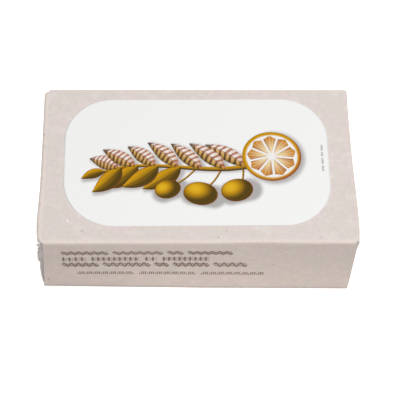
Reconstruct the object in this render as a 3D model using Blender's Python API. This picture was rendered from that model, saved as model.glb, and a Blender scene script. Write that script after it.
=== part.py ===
"""A closed folding carton for a flat tin, with a rounded paper label let into its top panel.

Frame: +X along the carton, +Y from the front panel to the back one, +Z up.
Origin: middle of the bottom panel, which the carton rests on.
"""

import math

import bmesh
import bpy
from mathutils import Matrix, Vector

MM = 0.001

# Panels: the tube of top, front, bottom and back
DEPTH = 63.5 * MM
HEIGHT = 33.2 * MM
BOARD = 0.5 * MM
FOLD_RADIUS = 0.7 * MM
FOOT_RADIUS = 0.35 * MM
LAP_HEIGHT = 1.6 * MM

# Wear of the tube: it is racked a little, its ends are askew and its front fold is dented in one place
LEFT_TWIST = 1.0 * MM
RIGHT_TWIST = 0.45 * MM
LEFT_END_TOP = 53.0 * MM
LEFT_END_SLANT = 1.4 * MM
RIGHT_END_FRONT = 54.0 * MM
RIGHT_END_SKEW = 0.5 * MM
DENT_DEPTH = 0.25 * MM
DENT_PLACE = 22.5 * MM
DENT_WIDTH = 9.5 * MM

# Closing flaps: each hangs from the top panel and is glued over the end of the tube
LEFT_FACE = 54.0 * MM
RIGHT_FACE = 54.3 * MM
FLAP_THICKNESS = 0.8 * MM
FLAP_BEND = 0.9 * MM
FLAP_ROOT = 2.6 * MM
FLAP_SINK = 0.05 * MM
FLAP_SIDE_GAP = 0.5 * MM
FLAP_TAPER = 0.6 * MM
FLAP_FOOT = 1.0 * MM

# The flaps' upper folds flare out towards the front panel, less far down and less far back
FLARE_PLACE = -24.0 * MM
FLARE_FRONT_WIDTH = 9.0 * MM
LEFT_FLARE = 0.7 * MM
LEFT_FLARE_DROP = 12.0 * MM
LEFT_FLARE_BACK_WIDTH = 13.0 * MM
RIGHT_FLARE = 0.85 * MM
RIGHT_FLARE_DROP = 6.0 * MM
RIGHT_FLARE_BACK_WIDTH = 21.0 * MM

# Wear of the left flap: swollen, with a loose tab at its front edge, a kicked foot and a torn front corner
SWELL = 1.0 * MM
SWELL_DROP = 14.5 * MM
SWELL_RISE = 17.0 * MM
SWELL_FALL = 19.4 * MM
TAB_LIFT = 0.6 * MM
TAB_DROP = 10.5 * MM
TAB_HEIGHT = 3.9 * MM
TAB_WIDTH = 4.0 * MM
KICK = 0.28 * MM
KICK_DROP = 15.5 * MM
KICK_RUN = 5.0 * MM
CORNER_TEAR = 0.9 * MM
CORNER_TEAR_START = 29.0 * MM
CORNER_TEAR_RUN = 2.5 * MM
CORNER_TEAR_DROP = 3.0 * MM
CORNER_TEAR_FADE = 3.5 * MM
NICK_PLACES = (12.5 * MM, 7.4 * MM, -5.7 * MM, -16.5 * MM, -25.0 * MM)
NICK_SIZE = 0.7 * MM
NICK_INSET = 0.25 * MM

# The flaps folded in behind each closing flap, as one packed layer
PACKED_GAP = 0.4 * MM
PACKED_ROOT = 51.0 * MM
PACKED_SHARE = 0.99
PACKED_TOP = 0.4 * MM

# Label
LABEL_LENGTH = 92.8 * MM
LABEL_DEPTH = 51.9 * MM
LABEL_RADII = (16.3 * MM, 16.9 * MM, 18.1 * MM, 16.3 * MM)
LABEL_SHIFT = (-0.35 * MM, 1.05 * MM)
LABEL_TURN = math.radians(0.3)
LABEL_THICKNESS = 0.2 * MM
LABEL_PROUD = 0.15 * MM
CLEARANCE = 0.3 * MM

# How finely the rounds and the bowed panels are faceted
FOLD_STEPS = 3
LABEL_STEPS = 14
TUBE_STATIONS = 17
FLAP_ROWS = 25
FLAP_STEPS = 10

LEFT, RIGHT = -1, 1


def clear_scene():
    for old in list(bpy.data.objects):
        bpy.data.objects.remove(old)


def material(name, colour, roughness):
    """A Principled material with the part's plain colour, given as linear RGB."""
    made = bpy.data.materials.new(name)
    made.use_nodes = True
    shader = made.node_tree.nodes["Principled BSDF"]
    shader.inputs["Base Color"].default_value = (*colour, 1)
    shader.inputs["Roughness"].default_value = roughness
    shader.inputs["Metallic"].default_value = 0
    return made


def object_from(name, bm, finish=None):
    """Turns a bmesh into an object with its faces pointing out."""
    bmesh.ops.recalc_face_normals(bm, faces=bm.faces)
    mesh = bpy.data.meshes.new(name)
    bm.to_mesh(mesh)
    bm.free()
    made = bpy.data.objects.new(name, mesh)
    bpy.context.scene.collection.objects.link(made)
    if finish:
        mesh.materials.append(finish)
    else:
        made.hide_render = True
        made.display_type = "WIRE"
    return made


def add_boolean(target, helper, operation):
    modifier = target.modifiers.new(helper.name, "BOOLEAN")
    modifier.operation = operation
    modifier.object = helper
    modifier.solver = "EXACT"


def smooth_step(value):
    """0 below 0, 1 above 1 and a soft S between."""
    value = min(max(value, 0), 1)
    return value * value * (3 - 2 * value)


def bell(distance, width):
    """1 at no distance, falling softly to 0 over a few widths."""
    return math.exp(-((distance / width) ** 2))


def corner_arc(quarter, centre, radius, steps):
    """Points of a quarter circle. Quarter 0 goes from +X to +Y and the next ones follow counterclockwise."""
    points = []
    for step in range(steps + 1):
        angle = math.radians(90) * (quarter + step / steps)
        points.append((centre[0] + radius * math.cos(angle), centre[1] + radius * math.sin(angle)))
    return points


def rounded_rectangle(width, height, radii, steps):
    """Points of a rounded rectangle about the origin, counterclockwise. radii gives each corner's radius."""
    points = []
    for quarter, radius in enumerate(radii):
        side_x = 1 if quarter in (0, 3) else -1
        side_y = 1 if quarter in (0, 1) else -1
        centre = (side_x * (width / 2 - radius), side_y * (height / 2 - radius))
        points += corner_arc(quarter, centre, radius, steps)
    return points


def lean(x, z):
    """How far the racked tube has moved along Y at this place: nothing at the top, most at the bottom corners."""
    twist = LEFT_TWIST if x < 0 else RIGHT_TWIST
    return -twist * (x / LEFT_FACE) * (1 - z / HEIGHT)


def dent(x, y, z):
    """The push into the front panel's upper fold, along Y."""
    if y > 0:
        return 0
    return DENT_DEPTH * bell(x - DENT_PLACE, DENT_WIDTH) * smooth_step(z / HEIGHT) ** 3


def tube_end(side, y, z):
    """How far out the tube's end lies. The left end slants outward to its foot, the right one is a little askew."""
    if side == LEFT:
        return LEFT_END_TOP + LEFT_END_SLANT * (1 - z / HEIGHT)
    return RIGHT_END_FRONT - RIGHT_END_SKEW * (0.5 + y / DEPTH)


def tube_section():
    """The tube's outline in Y and Z. The back panel laps over a glue flap that rises from the bottom panel."""
    outline = rounded_rectangle(DEPTH, HEIGHT, (FOLD_RADIUS, FOLD_RADIUS, FOOT_RADIUS, FOOT_RADIUS), FOLD_STEPS)
    points = []
    for y, z in outline:
        z += HEIGHT / 2
        glued = y > 0 and z < LAP_HEIGHT
        points.append((y - BOARD if glued else y, z))
    points.append((DEPTH / 2 - BOARD, LAP_HEIGHT))
    points.append((DEPTH / 2, LAP_HEIGHT))
    return points


def make_tube(finish):
    """The four long panels as one solid, lofted through rings along X."""
    bm = bmesh.new()
    rings = []
    for station in range(TUBE_STATIONS):
        share = 2 * station / (TUBE_STATIONS - 1) - 1
        side = LEFT if share < 0 else RIGHT
        ring = []
        for y, z in tube_section():
            x = share * tube_end(side, y, z)
            ring.append(bm.verts.new((x, y + lean(x, z) + dent(x, y, z), z)))
        rings.append(ring)
    for first, second in zip(rings, rings[1:]):
        for i in range(len(first)):
            j = (i + 1) % len(first)
            bm.faces.new((first[i], first[j], second[j], second[i]))
    for ring in (rings[0], rings[-1]):
        middle = bm.verts.new((sum(vert.co.x for vert in ring) / len(ring), 0, HEIGHT / 2))
        for i in range(len(ring)):
            bm.faces.new((ring[i], ring[(i + 1) % len(ring)], middle))
    return object_from("carton", bm, finish)


def flap_path(inset):
    """(outward, downward) points of a flap's section, from its root under the top panel, round the fold and down."""
    points = [(-FLAP_ROOT, inset)]
    for step in range(FOLD_STEPS + 2):
        angle = math.radians(90) * (1 - step / (FOLD_STEPS + 1))
        radius = FLAP_BEND - inset
        points.append((radius * math.cos(angle) - FLAP_BEND, FLAP_BEND - radius * math.sin(angle)))
    reach = HEIGHT - FLAP_SINK - FLAP_FOOT - FLAP_BEND
    for step in range(1, FLAP_STEPS + 1):
        points.append((-inset, FLAP_BEND + reach * step / FLAP_STEPS))
    return points


def left_wear(y, down):
    """How far wear has pushed the left flap out at this place."""
    if down < SWELL_DROP:
        hollow = ((SWELL_DROP - down) / SWELL_RISE) ** 4
    else:
        hollow = ((down - SWELL_DROP) / SWELL_FALL) ** 8
    swell = SWELL * max(0, 1 - hollow)
    tab = TAB_LIFT * bell(down - TAB_DROP, TAB_HEIGHT) * bell(y + DEPTH / 2, TAB_WIDTH)
    kick = KICK * smooth_step((down - KICK_DROP) / KICK_RUN)
    corner = smooth_step((-y - CORNER_TEAR_START) / CORNER_TEAR_RUN)
    corner *= 1 - smooth_step((down - CORNER_TEAR_DROP) / CORNER_TEAR_FADE)
    return swell + tab + kick - CORNER_TEAR * corner


def flap_bow(side, y, down):
    """How far a flap stands out from its flat place."""
    if side == LEFT:
        flare, drop, back_width = LEFT_FLARE, LEFT_FLARE_DROP, LEFT_FLARE_BACK_WIDTH
        wear = left_wear(y, down)
    else:
        flare, drop, back_width = RIGHT_FLARE, RIGHT_FLARE_DROP, RIGHT_FLARE_BACK_WIDTH
        wear = 0
    width = back_width if y > FLARE_PLACE else FLARE_FRONT_WIDTH
    return flare * bell(y - FLARE_PLACE, width) * (1 - smooth_step(down / drop)) + wear


def flap_point(side, across, outward, downward):
    """A point of a flap in space. across runs from -1 at its front edge to 1 at its back edge."""
    z = HEIGHT - FLAP_SINK - downward
    half_width = DEPTH / 2 - FLAP_SIDE_GAP - FLAP_TAPER * downward / HEIGHT
    y = across * half_width
    face = LEFT_FACE if side == LEFT else RIGHT_FACE
    x = side * (face + outward + flap_bow(side, y, downward))
    return Vector((x, y + lean(x, z), z))


def make_sheet(name, place, outer_path, inner_path):
    """A closed sheet, to be joined to the tube. place(across, outward, downward) gives its points in space."""
    bm = bmesh.new()
    grids = []
    for path in (outer_path, inner_path):
        grid = []
        for row in range(FLAP_ROWS):
            across = 2 * row / (FLAP_ROWS - 1) - 1
            grid.append([bm.verts.new(place(across, outward, downward)) for outward, downward in path])
        grids.append(grid)
    outer, inner = grids
    last = len(outer[0]) - 1
    for row in range(FLAP_ROWS - 1):
        for i in range(last):
            for grid in (outer, inner):
                bm.faces.new((grid[row][i], grid[row][i + 1], grid[row + 1][i + 1], grid[row + 1][i]))
        for end in (0, last):
            bm.faces.new((outer[row][end], outer[row + 1][end], inner[row + 1][end], inner[row][end]))
    for row in (0, FLAP_ROWS - 1):
        for i in range(last):
            bm.faces.new((outer[row][i], outer[row][i + 1], inner[row][i + 1], inner[row][i]))
    return object_from(name, bm)


def make_flap(side, name):
    """A closing flap as a sheet that bends down from the top panel."""

    def place(across, outward, downward):
        return flap_point(side, across, outward, downward)

    return make_sheet(name, place, flap_path(0), flap_path(FLAP_THICKNESS))


def make_packed_layer(side, name):
    """The inner flaps, which fill the space between the tube's end and the closing flap."""
    drops = [PACKED_TOP] + [downward for _, downward in flap_path(0)[-FLAP_STEPS - 1 :]]
    outer_path = [(-PACKED_GAP, downward) for downward in drops]
    inner_path = [(None, downward) for downward in drops]

    def place(across, outward, downward):
        point = flap_point(side, across * PACKED_SHARE, -PACKED_GAP, downward)
        if outward is None:
            point.x = side * PACKED_ROOT
        return point

    return make_sheet(name, place, outer_path, inner_path)


def make_nicks():
    """Cutters for the small nicks that wear has left along the left end's upper fold."""
    bm = bmesh.new()
    for y in NICK_PLACES:
        made = bmesh.ops.create_cube(bm, size=NICK_SIZE)["verts"]
        top_edge = Vector((LEFT * (LEFT_FACE + flap_bow(LEFT, y, 0) - NICK_INSET), y, HEIGHT - NICK_INSET))
        for vert in made:
            x, z = vert.co.x, vert.co.z
            vert.co.x = (x - z) * math.sqrt(0.5)
            vert.co.z = (x + z) * math.sqrt(0.5)
            vert.co += top_edge
    return object_from("nicks", bm)


def make_plate(name, grow, low, high, finish=None):
    """A flat plate with the label's outline, grown all round by the given amount."""
    bm = bmesh.new()
    radii = [radius + grow for radius in LABEL_RADII]
    outline = rounded_rectangle(LABEL_LENGTH + 2 * grow, LABEL_DEPTH + 2 * grow, radii, LABEL_STEPS)
    corners = [Vector((x, y, low)) for x, y in outline]
    for corner in corners:
        corner.xy = Matrix.Rotation(LABEL_TURN, 2) @ corner.xy + Vector(LABEL_SHIFT)
    base = bm.faces.new([bm.verts.new(corner) for corner in corners])
    pushed = bmesh.ops.extrude_face_region(bm, geom=[base])["geom"]
    top = [part for part in pushed if isinstance(part, bmesh.types.BMVert)]
    bmesh.ops.translate(bm, verts=top, vec=(0, 0, high - low))
    return object_from(name, bm, finish)


def make_carton():
    """The folded board as one solid: tube and closing flaps, with the label's seat and the nicks cut out."""
    board = material("carton_board", (0.68, 0.61, 0.57), 0.85)
    carton = make_tube(board)
    for side, word in ((LEFT, "left"), (RIGHT, "right")):
        add_boolean(carton, make_flap(side, word + "_flap"), "UNION")
        add_boolean(carton, make_packed_layer(side, word + "_packed_layer"), "UNION")
    seat_floor = HEIGHT + LABEL_PROUD - LABEL_THICKNESS - CLEARANCE
    add_boolean(carton, make_plate("label_seat", CLEARANCE, seat_floor, HEIGHT + MM), "DIFFERENCE")
    add_boolean(carton, make_nicks(), "DIFFERENCE")
    carton.data.set_sharp_from_angle(angle=math.radians(35))


def make_label():
    """The paper label, which lies in its seat and stands a little proud of the board."""
    paper = material("label_paper", (0.88, 0.88, 0.87), 0.6)
    top = HEIGHT + LABEL_PROUD
    make_plate("label", 0, top - LABEL_THICKNESS, top, paper)


clear_scene()
make_carton()
make_label()
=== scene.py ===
"""Looks of a closed folding carton for a flat tin: worn board, closing flaps, paper label and its print.

The camera looks down at the front panel, over a pale floor that glows as painted light, in soft light.
"""

import math

import bmesh
import bpy
import numpy as np
from mathutils import Matrix, Vector, noise


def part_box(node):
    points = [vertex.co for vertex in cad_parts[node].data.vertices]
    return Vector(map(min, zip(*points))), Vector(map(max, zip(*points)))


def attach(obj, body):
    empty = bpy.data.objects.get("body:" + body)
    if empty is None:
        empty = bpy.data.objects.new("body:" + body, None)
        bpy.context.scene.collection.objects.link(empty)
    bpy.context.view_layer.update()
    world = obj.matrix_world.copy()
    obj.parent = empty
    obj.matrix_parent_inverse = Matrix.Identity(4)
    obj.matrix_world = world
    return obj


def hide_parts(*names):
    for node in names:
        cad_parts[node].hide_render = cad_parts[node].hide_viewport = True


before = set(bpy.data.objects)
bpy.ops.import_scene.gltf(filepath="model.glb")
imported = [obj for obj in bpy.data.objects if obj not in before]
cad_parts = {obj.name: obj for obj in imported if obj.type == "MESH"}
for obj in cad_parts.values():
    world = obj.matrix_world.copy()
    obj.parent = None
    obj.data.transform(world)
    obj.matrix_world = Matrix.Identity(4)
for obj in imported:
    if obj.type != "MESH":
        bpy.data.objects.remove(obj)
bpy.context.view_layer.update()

MM = 0.001
LEFT, RIGHT = -1, 1

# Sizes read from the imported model
CARTON_LOW, CARTON_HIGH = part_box("carton")
LABEL_LOW, LABEL_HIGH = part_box("label")
HEIGHT = CARTON_HIGH.z
LEFT_TWIST = 1.0 * MM
RIGHT_TWIST = 0.45 * MM
DEPTH = CARTON_HIGH.y - CARTON_LOW.y - LEFT_TWIST - RIGHT_TWIST
LABEL_PLACE = (LABEL_LOW + LABEL_HIGH) / 2

# Board and its folds
BOARD = 0.5 * MM
FOLD_RADIUS = 0.7 * MM
FOOT_RADIUS = 0.35 * MM
LAP_HEIGHT = 1.6 * MM
TUBE_END = 54 * MM
LEFT_TOP_END = 53.05 * MM
RIGHT_TOP_END = 53.35 * MM
LEFT_END_TOP = 53.0 * MM
LEFT_END_SLANT = 1.4 * MM
RIGHT_END_FRONT = 54.0 * MM
RIGHT_END_SKEW = 0.5 * MM
END_ROUNDING = 0.3 * MM
TOP_BAND = 0.3 * MM
CROWN = 0.12 * MM
HOLLOW = 0.5 * MM
UNEVEN = 0.03 * MM
DENT_DEPTH = 0.25 * MM
DENT_PLACE = 22.5 * MM
DENT_WIDTH = 9.5 * MM
FOLD_WAVER = 0.06 * MM
FRONT_RUB = 0.75
BACK_RUB = 0.2
RUB_WIDTH = 0.7 * MM
# Painted shade: how dark the bottom fold is painted, standing for the contact shadow under the carton
FOOT_PAINTED_SHADE = 0.55
PANEL_STEP = 1.3 * MM
ARC_STEPS = 8

# Closing flaps
LEFT_FACE = 54.0 * MM
RIGHT_FACE = 54.3 * MM
FLAP_BEND = 0.9 * MM
FLAP_ROOT = 2.6 * MM
ROOT_DIP = 0.12 * MM
FLAP_SINK = 0.004 * MM
FLAP_SIDE_GAP = 0.5 * MM
FLAP_TAPER = 0.6 * MM
FLAP_FOOT = 1.0 * MM
LEFT_RAGGED = 0.16 * MM
RIGHT_RAGGED = 0.07 * MM
FLARE_PLACE = -24 * MM
FLARE_FRONT_WIDTH = 9 * MM

# How far each flap's fold flares out, how far down, and how wide behind the flare's middle
FLARES = {LEFT: (0.7 * MM, 12 * MM, 13 * MM), RIGHT: (0.85 * MM, 6 * MM, 21 * MM)}

# Wear of the left flap: swollen, with a loose tab and a torn corner in front, and a kicked foot
SWELL = 1.0 * MM
SWELL_DROP = 14.5 * MM
SWELL_RISE = 17 * MM
SWELL_FALL = 19.4 * MM
TAB_LIFT = (0.4 * MM, 0.65 * MM)
TAB_TOP = 6.0 * MM
TAB_FOOT = 14.3 * MM
TAB_EDGE = 0.8 * MM
TAB_WIDTH = 4 * MM
KICK = 0.28 * MM
KICK_DROP = 15.5 * MM
KICK_RUN = 5 * MM
CORNER_TEAR = 0.9 * MM
CORNER_TEAR_START = 29 * MM
CORNER_TEAR_RUN = 2.5 * MM
CORNER_TEAR_DROP = 3 * MM
CORNER_TEAR_FADE = 3.5 * MM
NICK_PLACES = (12.5 * MM, 7.4 * MM, -5.7 * MM, -16.5 * MM, -25 * MM)
NICK_DEPTH = 0.5 * MM
NICK_WIDTH = 0.4 * MM
NICK_DROP = 1.2 * MM
DISH_DEPTH = 0.95 * MM
DISH_PLACE = 3.1 * MM
DISH_WIDTH = 1.9 * MM
DISH_DROP = 6.8 * MM
DISH_HEIGHT = 3.6 * MM
TEAR_DROP = 5.9 * MM
TEAR_WIDTH = 1.0 * MM
TEAR_DEPTH = 0.85 * MM
FRAY_DEPTH = 0.5 * MM
FRAY_WIDTH = 1.6 * MM
LAYER_GAP = 0.1 * MM

# Torn shreds at the left end's front corner: drop from the top, reach, width and rise in millimetres
SHREDS = (
    (0.5, 0.8, 0.5, 0.1),
    (1.8, 1.4, 0.9, 0.1),
    (2.4, 1.1, 0.9, 0.0),
    (3.6, 0.6, 0.7, 0.1),
    (4.8, 0.9, 0.6, 0.15),
)
FLAP_ROWS = 150
FLAP_STEPS = 90

# Corners worn round: the top panel's back left one, and the right end's foot
WORN_RADIUS = 2.5 * MM
WORN_HEIGHT = 5 * MM
LEFT_CORNER_REACH = 54.5 * MM
FOOT_ROUNDING = 1.0 * MM
FOOT_SPREAD = 0.3 * MM
FOOT_SPREAD_HEIGHT = 1.6 * MM

# Label
LABEL_RIGHT_RADIUS = 16.3 * MM
LABEL_LEFT_RADII = (18.1 * MM, 16.9 * MM)
LABEL_TURN = math.radians(0.3)
LABEL_BOX = LABEL_HIGH - LABEL_LOW
LABEL_LENGTH = LABEL_BOX.x - (LABEL_BOX.y - 2 * LABEL_RIGHT_RADIUS) * math.sin(LABEL_TURN)
LABEL_DEPTH = LABEL_BOX.y - (LABEL_BOX.x - 2 * LABEL_RIGHT_RADIUS) * math.sin(LABEL_TURN)
PAPER = 0.12 * MM
INK_LAYER = 0.012 * MM
LABEL_COLUMNS = 150
LABEL_CORNER_ROWS = 34
LABEL_MIDDLE_ROWS = 18

# The label's design: an olive sprig with a cut citrus wheel at its root
SHADOW_SHIFT = (1.0 * MM, -0.6 * MM)
STEM = ((21 * MM, 0), (4 * MM, -6.5 * MM), (-16 * MM, 3.5 * MM), (-33 * MM, -3.5 * MM))
UPPER_LEAVES = (0.08, 0.22, 0.37, 0.52, 0.66, 0.79, 0.9)
LOWER_LEAVES = (0.5, 0.64, 0.77, 0.88)
OLIVES = (
    (13.5 * MM, -10.8 * MM, 5.6 * MM, 4.5 * MM, 14, 0.1),
    (0.8 * MM, -12.2 * MM, 6.0 * MM, 4.6 * MM, -10, 0.24),
    (-10.5 * MM, -10.4 * MM, 4.6 * MM, 3.7 * MM, 20, 0.4),
)
WHEEL_MIDDLE = (26 * MM, 3.0 * MM)
WHEEL_RADIUS = 10.4 * MM
WEDGES = 9
WHEEL_SQUASH = 0.97
WEDGE_START = 0.13
WEDGE_REACH = 0.7
WEDGE_GAP = 0.4 * MM

# Rows of ornament on the long sides, and a tiny upright line of dots on the label
WAVE_LENGTH = 2.7 * MM
LOZENGE_PITCH = 1.9 * MM
DASH_PITCH = 0.7 * MM
RUN_GAP = 1.7 * MM
TALLY_PLACE = 43.8 * MM
TALLY_TOP = 7.4 * MM
TALLY_PITCH = 0.6 * MM
TALLY_DOTS = 18
TALLY_BREAKS = (4, 8, 13)
WAVE_STROKE = 0.75 * MM
DASH_STROKE = 0.42 * MM

# Flecks in millimetres: place, reach along and across, and tone
TOP_FLECKS = (
    (-44.7, -22.9, 0.85, 0.45, 1),
    (-43.4, -23.7, 0.35, 0.25, 0.9),
    (-39.7, -27.0, 0.25, 0.3, 0.35),
    (-40.0, -25.8, 0.14, 0.5, 0.9),
    (9.4, -27.0, 0.2, 0.26, 0.3),
    (6.6, -29.3, 0.35, 0.2, 0.3),
    (41.7, -29.5, 0.25, 0.22, 0.4),
    (41.0, -26.4, 0.2, 0.2, 0.45),
    (45.3, -27.9, 0.35, 0.25, 1),
    (49.4, -29.9, 0.14, 0.5, 0.5),
)
FRONT_FLECKS = (
    (25.9, 17.4, 0.3, 0.25, 0.2),
    (33.9, 25.4, 0.25, 0.2, 0.5),
    (39.0, 30.4, 0.3, 0.2, 0.5),
    (-52.6, 5.8, 0.5, 0.3, 0),
    (47.7, 2.8, 0.35, 0.5, 0.5),
)

# Floor, with a glow that is painted light, and the lamps
FLOOR_REACH = 20
FLOOR_DROP = 0.02 * MM
FLOOR_COLOUR = (0.7, 0.67, 0.64)
# Painted light: the floor glows, brighter near the carton to light its front from below, and white where
# the carton's shadow falls beside its left end
FAR_GLOW = (0.46, 0.455, 0.46)
NEAR_GLOW = (0.86, 0.815, 0.76)
SHADE_GLOW = (0.9, 0.9, 0.9)
GLOW_REACH = 45 * MM
ROOM_LIGHT = 0.14
OVERHEAD_WATTS = 10.1
SOFTBOX_SIZE = 0.6
SOFTBOX_PLACE = Vector((0.15, -0.05, 1.05))

# Camera: a pinhole fitted to the carton's corners and the label's outline
CAMERA_LENS = 131.4
CAMERA_YAW = -3.11
CAMERA_PITCH = 59.49
CAMERA_ROLL = 2.61
CAMERA_DISTANCE = 525.19 * MM
CAMERA_SIDE = 1.18 * MM
CAMERA_RISE = -3.7 * MM
CAMERA_AIM = Vector((0, -0.25 * MM, 16 * MM))


def linear(red, green, blue):
    """A colour given as 0 to 255 on a screen, as linear RGB."""
    shares = (channel / 255 for channel in (red, green, blue))
    return tuple(s / 12.92 if s <= 0.04045 else ((s + 0.055) / 1.055) ** 2.4 for s in shares)


PINK_BOARD = linear(227, 212, 209)
YELLOW_BOARD = linear(222, 213, 204)
GREY_BOARD = linear(212, 203, 200)
PALE_BOARD = linear(238, 230, 225)
WHITE_FLECK = linear(246, 242, 238)
DARK_FLECK = linear(150, 132, 122)
RUBBED_BOARD = linear(236, 222, 213)
# Painted shade colour: bottom fold, below the flaps' folds, hidden end walls and the gaps beside them
PAINTED_SHADE_BOARD = linear(118, 112, 108)
# Painted shade and warm light on the upright panels
SIDE_SHADE_BOARD = linear(176, 148, 116)
# Painted contact shade: grey at the foot of the upright panels
CONTACT_SHADE_BOARD = linear(206, 206, 207)
CUT_DARK = linear(192, 190, 188)
CUT_PALE = linear(234, 232, 230)
# Painted light: the torn shreds are paler than the cut edge, as if lit through their thin fibres
LIT_SHRED_DARK = linear(226, 224, 221)
LIT_SHRED_PALE = linear(250, 248, 246)
LABEL_WHITE = linear(242, 242, 241)
LABEL_GREY = linear(237, 237, 236)
PRINT_SHADOW = linear(112, 98, 94)
INK_WHITE = linear(238, 235, 233)
INK_BLUSH = linear(228, 205, 192)
INK_RUST = linear(166, 90, 44)
INK_ORANGE = linear(202, 134, 46)
INK_DARK = linear(52, 44, 40)
INK_GOLD = linear(206, 152, 6)
INK_YELLOW = linear(222, 176, 30)
INK_PALE_GOLD = linear(236, 216, 170)
INK_OLIVE = linear(84, 63, 8)
INK_BARK = linear(80, 58, 26)
INK_BROWN = linear(134, 114, 101)
INK_WORN = linear(162, 143, 130)
INK_FAINT = linear(176, 180, 177)
INK_FAINTER = linear(206, 208, 205)
SCUFF_DARK = linear(158, 140, 130)
SCUFF_PALE = linear(246, 236, 232)


def smooth_step(value):
    """0 below 0, 1 above 1 and a soft S between."""
    value = min(max(value, 0), 1)
    return value * value * (3 - 2 * value)


def bell(distance, width):
    """1 at no distance, falling softly to 0 over a few widths."""
    return math.exp(-((distance / width) ** 2))


def wobble(x, y, z, size, seed=0):
    """A smooth uneven value from about -1 to 1 whose lumps are as wide as size."""
    return noise.noise(Vector((x / size + 17 * seed, y / size, z / size)))


def operation(name, swapped=False):
    """An operator that joins two values with one Math node."""

    def join(wire, other):
        pair = (other, wire) if swapped else (wire, other)
        return wire.finish.math_value(name, *pair)

    return join


class Wire:
    """A value that runs between two shader nodes. Sums on wires add Math nodes."""

    def __init__(self, finish, socket):
        self.finish = finish
        self.socket = socket

    def __abs__(self):
        return self.finish.math_value("ABSOLUTE", self)

    __add__ = __radd__ = operation("ADD")
    __mul__ = __rmul__ = operation("MULTIPLY")
    __sub__ = operation("SUBTRACT")
    __rsub__ = operation("SUBTRACT", swapped=True)
    __pow__ = operation("POWER")
    __rpow__ = operation("POWER", swapped=True)
    __gt__ = operation("GREATER_THAN")
    __lt__ = operation("LESS_THAN")


class Finish:
    """A material under construction, with one method that adds any shader node."""

    def __init__(self, name, roughness):
        self.material = bpy.data.materials.new(name)
        self.material.use_nodes = True
        self.tree = self.material.node_tree
        self.surface = self.tree.nodes["Principled BSDF"]
        self.surface.inputs["Roughness"].default_value = roughness
        self.colour = None

    def feed(self, socket, value):
        if isinstance(value, Wire):
            self.tree.links.new(value.socket, socket)
        elif isinstance(value, tuple) and socket.type == "RGBA":
            socket.default_value = (*value, 1)
        else:
            socket.default_value = value

    def node(self, kind, settings=None, sockets=None, output=0):
        added = self.tree.nodes.new("ShaderNode" + kind)
        for name, value in (settings or {}).items():
            setattr(added, name, value)
        for name, value in (sockets or {}).items():
            self.feed(added.inputs[name], value)
        return Wire(self, added.outputs[output])

    def set(self, name, value):
        self.feed(self.surface.inputs[name], value)

    def place(self, stretch=(1, 1, 1)):
        """The point on the object in millimetres, stretched along each axis."""
        spot = self.node("TexCoord", output="Object")
        scale = tuple(factor / MM for factor in stretch)
        return self.node("VectorMath", {"operation": "MULTIPLY"}, {0: spot, 1: scale})

    def math_value(self, operation, *values):
        return self.node("Math", {"operation": operation}, dict(enumerate(values)))

    def attribute(self, name):
        return self.node("Attribute", {"attribute_name": name}, output="Fac")

    def grain(self, place, size, detail=3, roughness=0.55):
        """Noise from 0 to 1 whose lumps are about size millimetres wide."""
        sockets = {"Vector": place, "Scale": 1 / size, "Detail": detail, "Roughness": roughness}
        return self.node("TexNoise", None, sockets, "Fac")

    def ramp(self, value, low, high, start=0.0, end=1.0):
        """Runs softly from start to end while value goes from low to high."""
        sockets = {"Value": value, "From Min": low, "From Max": high, "To Min": start, "To Max": end}
        return self.node("MapRange", {"interpolation_type": "SMOOTHSTEP"}, sockets)

    def mix(self, factor, first, second):
        return self.node("Mix", {"data_type": "RGBA"}, {0: factor, 6: first, 7: second}, 2)

    def coat(self, mask, colour):
        """Lays a colour over what is there, as far as the mask goes."""
        self.colour = self.mix(mask, self.colour, colour)
        self.set("Base Color", self.colour)

    def bump(self, height, depth, strength=1.0):
        sockets = {"Height": height, "Distance": depth, "Strength": strength}
        self.set("Normal", self.node("Bump", None, sockets))


def specks(finish, place, spacing, size, share):
    """A mask of small sparse specks: one in each cell at most, in the given share of cells."""
    sockets = {"Vector": place, "Scale": 1 / spacing}
    distance = finish.node("TexVoronoi", None, sockets, "Distance")
    colour = finish.node("TexVoronoi", None, sockets, "Color")
    chance = finish.node("SeparateColor", None, {0: colour})
    return finish.ramp(distance, size / spacing, 0.4 * size / spacing) * (chance > 1 - share)


def fibres(finish, size):
    """Short faint fibres that lie along and across the carton."""
    along = finish.grain(finish.place((0.22, 1, 1)), size, 2)
    across = finish.grain(finish.place((1, 0.22, 0.6)), size, 2)
    return finish.ramp(along, 0.6, 0.74) + finish.ramp(across, 0.6, 0.74)


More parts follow.
